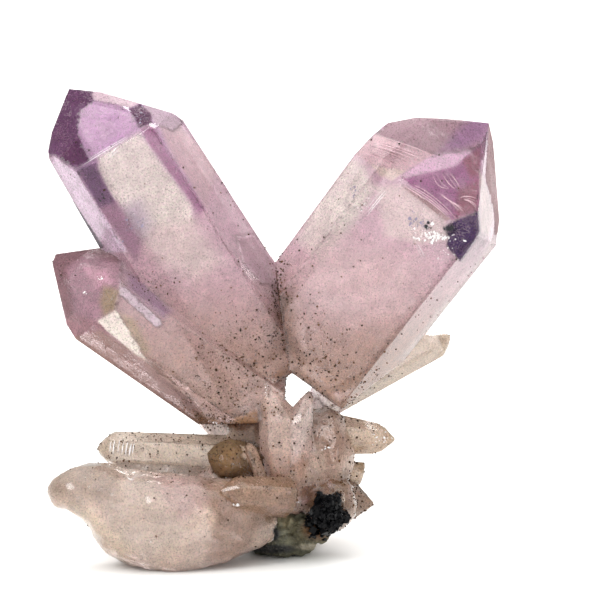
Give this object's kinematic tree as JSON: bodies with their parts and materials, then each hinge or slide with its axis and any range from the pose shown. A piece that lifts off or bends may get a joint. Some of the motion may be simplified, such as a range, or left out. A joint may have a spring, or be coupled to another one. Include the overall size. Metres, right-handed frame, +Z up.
{
  "type": "amethyst crystal cluster",
  "caption": "Amethyst crystal cluster: pale violet pointed quartz crystals spread in a V from a milky root, with host rock and black mineral.",
  "frame": {"origin": "on the surface that the cluster stands on, under the middle of its outline", "axes": "+Z up, +X to the right of someone who looks at the display face, +Y away from them"},
  "size_m": [0.0628, 0.0356, 0.0647],
  "materials": {
    "quartz": "clear to cloudy pale violet quartz, milky at the root",
    "host_rock": "rough grey-green rock with rust stains",
    "black_mineral": "jagged, glittering black crystals"
  },
  "bodies": {
    "root": {"amethyst_cluster": "quartz", "matrix_stone": "host_rock", "black_mineral": "black_mineral"}
  },
  "joints": []
}
